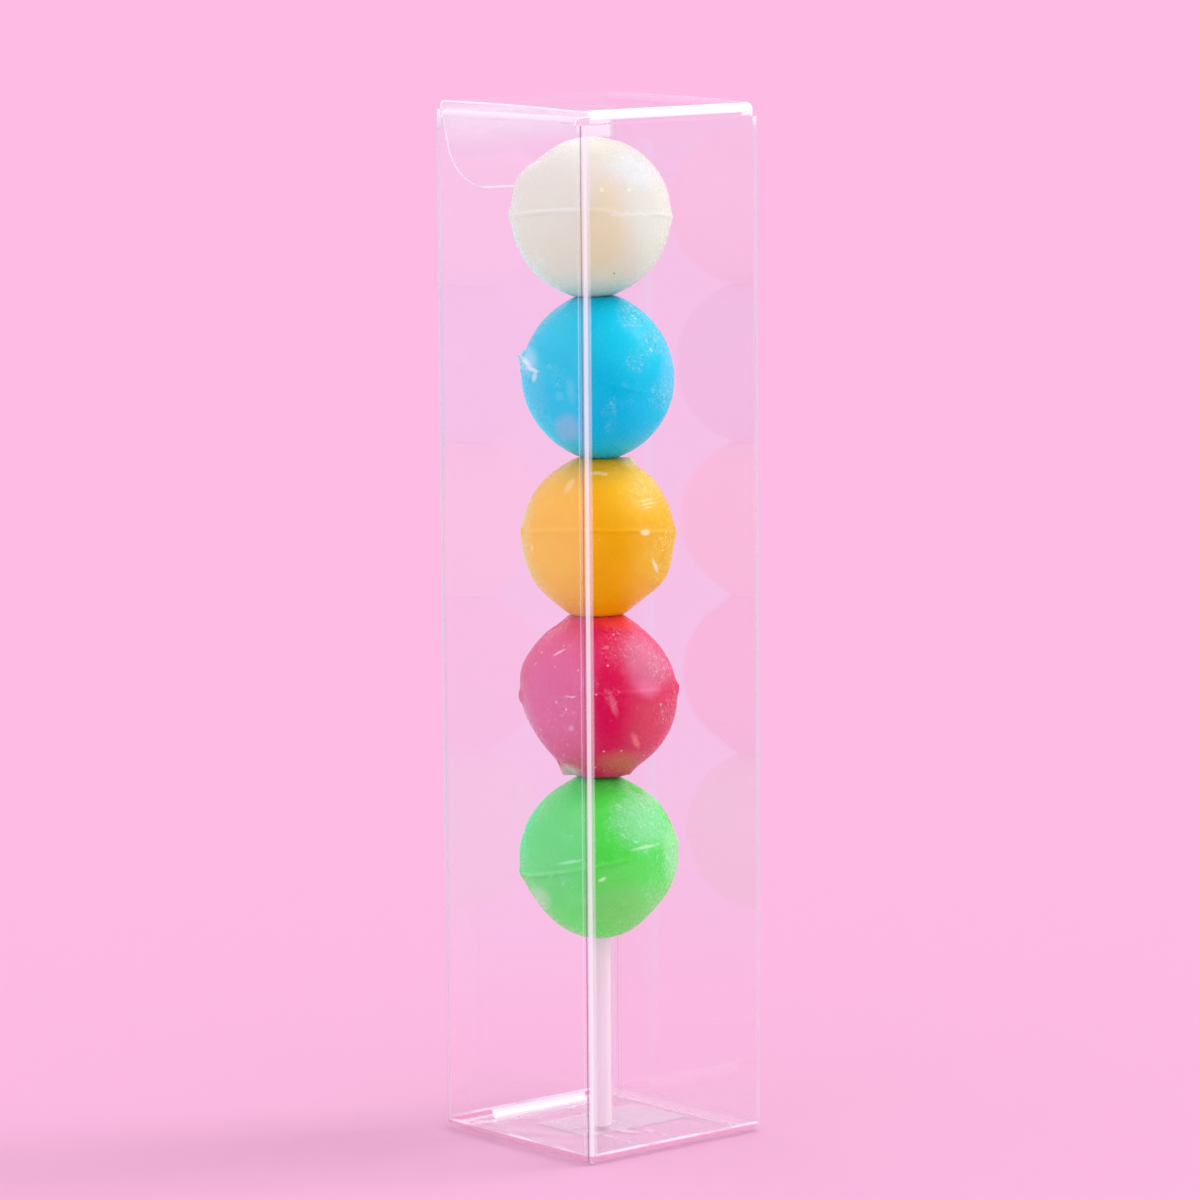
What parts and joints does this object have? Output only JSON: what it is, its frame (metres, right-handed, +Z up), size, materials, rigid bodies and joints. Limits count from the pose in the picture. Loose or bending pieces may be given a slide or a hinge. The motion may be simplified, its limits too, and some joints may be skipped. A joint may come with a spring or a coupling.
{
  "type": "ball candy lollipop in clear carton",
  "caption": "Stacked hard candy balls on a round stick, standing in a tall clear folding carton whose tuck lid opens.",
  "frame": {"origin": "middle of the carton's base, on the surface it stands on", "axes": "+Z up along the carton, +X towards the wall that carries the lid's crease, +Y along that crease"},
  "size_m": [0.04, 0.04, 0.1812],
  "materials": {
    "clear_sheet": "clear glossy folded sheet",
    "white_stick": "smooth white stick",
    "green_candy": "cloudy green hard candy",
    "red_candy": "translucent crimson hard candy with bubbles",
    "yellow_candy": "amber yellow hard candy",
    "blue_candy": "sky blue hard candy",
    "white_candy": "cream white hard candy"
  },
  "bodies": {
    "carton": {"carton": "clear_sheet", "stick": "white_stick", "ball_green": "green_candy", "ball_red": "red_candy", "ball_yellow": "yellow_candy", "ball_blue": "blue_candy", "ball_white": "white_candy"},
    "lid": {"lid": "clear_sheet"}
  },
  "joints": [
    {"name": "lid_hinge", "type": "hinge", "parent": "carton", "child": "lid", "pos_m": [0.02, 0, 0.17835], "axis": [0, 1, 0], "range_deg": [0, 130]}
  ]
}
